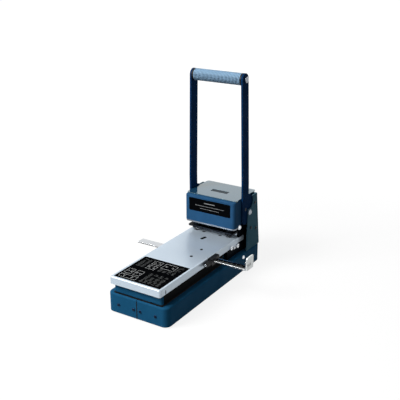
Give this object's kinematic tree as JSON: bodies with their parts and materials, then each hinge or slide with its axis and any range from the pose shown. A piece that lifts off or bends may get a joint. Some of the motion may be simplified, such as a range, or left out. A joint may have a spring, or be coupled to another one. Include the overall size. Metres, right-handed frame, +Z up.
{
  "type": "heavy-duty two-hole punch",
  "caption": "Long-based lever paper punch with an upright looped handle, a pale paper table, a sliding side gauge and a chip drawer.",
  "frame": {"origin": "middle of the base's footprint, on the bench", "axes": "+Z up, +Y to the back of the machine, +X to the user's right, where the gauge's stop is"},
  "size_m": [0.2601, 0.363, 0.421],
  "materials": {
    "base_blue_paint": "satin dark blue paint",
    "cover_blue_paint": "satin blue paint",
    "plate_blue_paint": "satin dark grey-blue paint",
    "arm_blue_paint": "satin dark blue paint",
    "table_silver": "pale silver lacquer",
    "lid_grey_paint": "glossy pale grey paint",
    "bare_steel": "plain steel",
    "ground_steel": "ground steel",
    "chrome": "polished plate",
    "dark_steel": "blackened steel",
    "black_plastic": "moulded",
    "black_rubber": "moulded",
    "grip_grey_plastic": "ring-ribbed",
    "white_plastic": "moulded"
  },
  "bodies": {
    "base": {"base_shell": "base_blue_paint", "table_riser": "base_blue_paint", "cheek_left": "base_blue_paint", "cheek_right": "base_blue_paint", "head_cover": "cover_blue_paint", "side_plate_left": "plate_blue_paint", "side_plate_right": "plate_blue_paint", "rear_panel": "plate_blue_paint", "paper_table": "table_silver", "head_lid": "lid_grey_paint", "base_floor": "bare_steel", "drawer_rails": "bare_steel", "back_stop": "bare_steel", "die_beam": "bare_steel", "die_block": "bare_steel", "strip_spacers": "bare_steel", "pivot_spacers": "bare_steel", "tie_spacers": "bare_steel", "return_springs": "bare_steel", "guide_plate": "ground_steel", "stripper_plate": "ground_steel", "punch_bushes": "ground_steel", "die_bushes": "ground_steel", "guide_posts": "ground_steel", "pivot_shaft": "ground_steel", "side_bolts": "chrome", "table_screws": "chrome", "pivot_caps": "chrome", "front_screws": "dark_steel", "tie_bolts": "dark_steel", "frame_bolts": "dark_steel", "die_screws": "dark_steel", "gauge_guide": "black_plastic", "rubber_mat": "black_rubber", "rubber_pads": "black_rubber"},
    "lever": {"arm_left": "arm_blue_paint", "arm_right": "arm_blue_paint", "drive_rod": "ground_steel", "grip_rod": "ground_steel", "hand_grip": "grip_grey_plastic", "grip_collars": "black_plastic", "grip_nuts": "chrome"},
    "ram": {"punch_bar": "bare_steel", "punch_pins": "ground_steel", "pin_plate": "bare_steel"},
    "gauge": {"gauge_bar": "chrome", "gauge_stop": "white_plastic", "gauge_rivets": "chrome"},
    "knob": {"gauge_knob": "black_plastic"},
    "drawer": {"chip_drawer": "base_blue_paint"}
  },
  "joints": [
    {"name": "lever_hinge", "type": "hinge", "parent": "base", "child": "lever", "pos_m": [0, 0.131, 0.1273], "axis": [1, 0, 0], "range_deg": [0, 70]},
    {"name": "punch_slide", "type": "slide", "parent": "base", "child": "ram", "axis": [0, 0, 1], "range_m": [-0.0201, 0], "stiffness_N_per_m": 5000, "springref_m": 0.008, "deforming": ["return_springs"]},
    {"name": "gauge_slide", "type": "slide", "parent": "base", "child": "gauge", "axis": [1, 0, 0], "range_m": [-0.06, 0.025]},
    {"name": "knob_turn", "type": "hinge", "parent": "base", "child": "knob", "pos_m": [0.0627, -0.03, 0.07125], "axis": [0, 1, 0], "range_deg": [0, 270]},
    {"name": "drawer_slide", "type": "slide", "parent": "base", "child": "drawer", "axis": [0, 1, 0], "range_m": [0, 0.09]}
  ],
  "couplings": [
    {"joint": "punch_slide", "follows": "lever_hinge", "m_per_rad": -0.01637}
  ]
}
